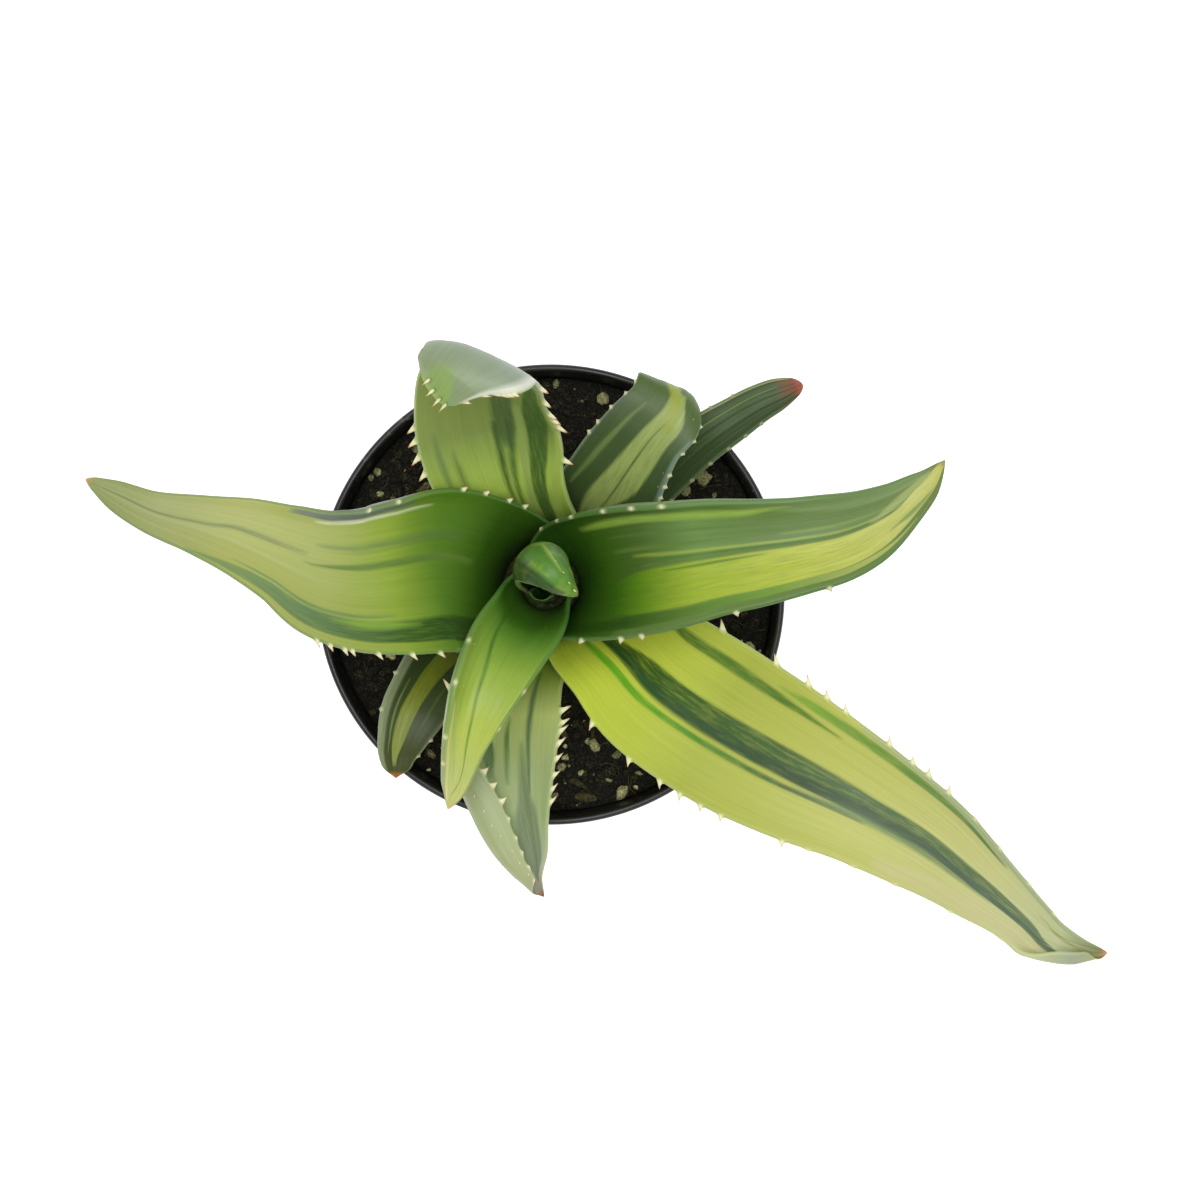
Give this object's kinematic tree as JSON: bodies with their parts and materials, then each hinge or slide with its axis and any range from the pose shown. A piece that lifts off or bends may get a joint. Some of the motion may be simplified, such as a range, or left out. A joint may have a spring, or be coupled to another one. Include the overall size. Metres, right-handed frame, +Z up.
{
  "type": "potted aloe",
  "caption": "Young striped aloe with toothed, fleshy leaves in a rosette, growing in a round thin-walled nursery pot.",
  "frame": {"origin": "centre of the pot's flat underside, on the surface it stands on", "axes": "+Z up along the pot's axis; seen from above, +X is to the right and +Y to the top, so the longest leaf points to +X -Y"},
  "size_m": [0.231, 0.1394, 0.1788],
  "materials": {
    "pot_plastic": "satin",
    "potting_mix": "matte",
    "stem_skin": "matte",
    "leaf_flesh": "satin"
  },
  "bodies": {
    "root": {"pot": "pot_plastic", "soil": "potting_mix", "stem": "stem_skin", "leaf_southeast": "leaf_flesh", "leaf_west": "leaf_flesh", "leaf_east": "leaf_flesh", "leaf_south_young": "leaf_flesh", "leaf_centre_hood": "leaf_flesh", "leaf_heart": "leaf_flesh", "leaf_north": "leaf_flesh", "leaf_northeast_broad": "leaf_flesh", "leaf_northeast_narrow": "leaf_flesh", "leaf_southwest": "leaf_flesh", "leaf_south_folded": "leaf_flesh"}
  },
  "joints": []
}
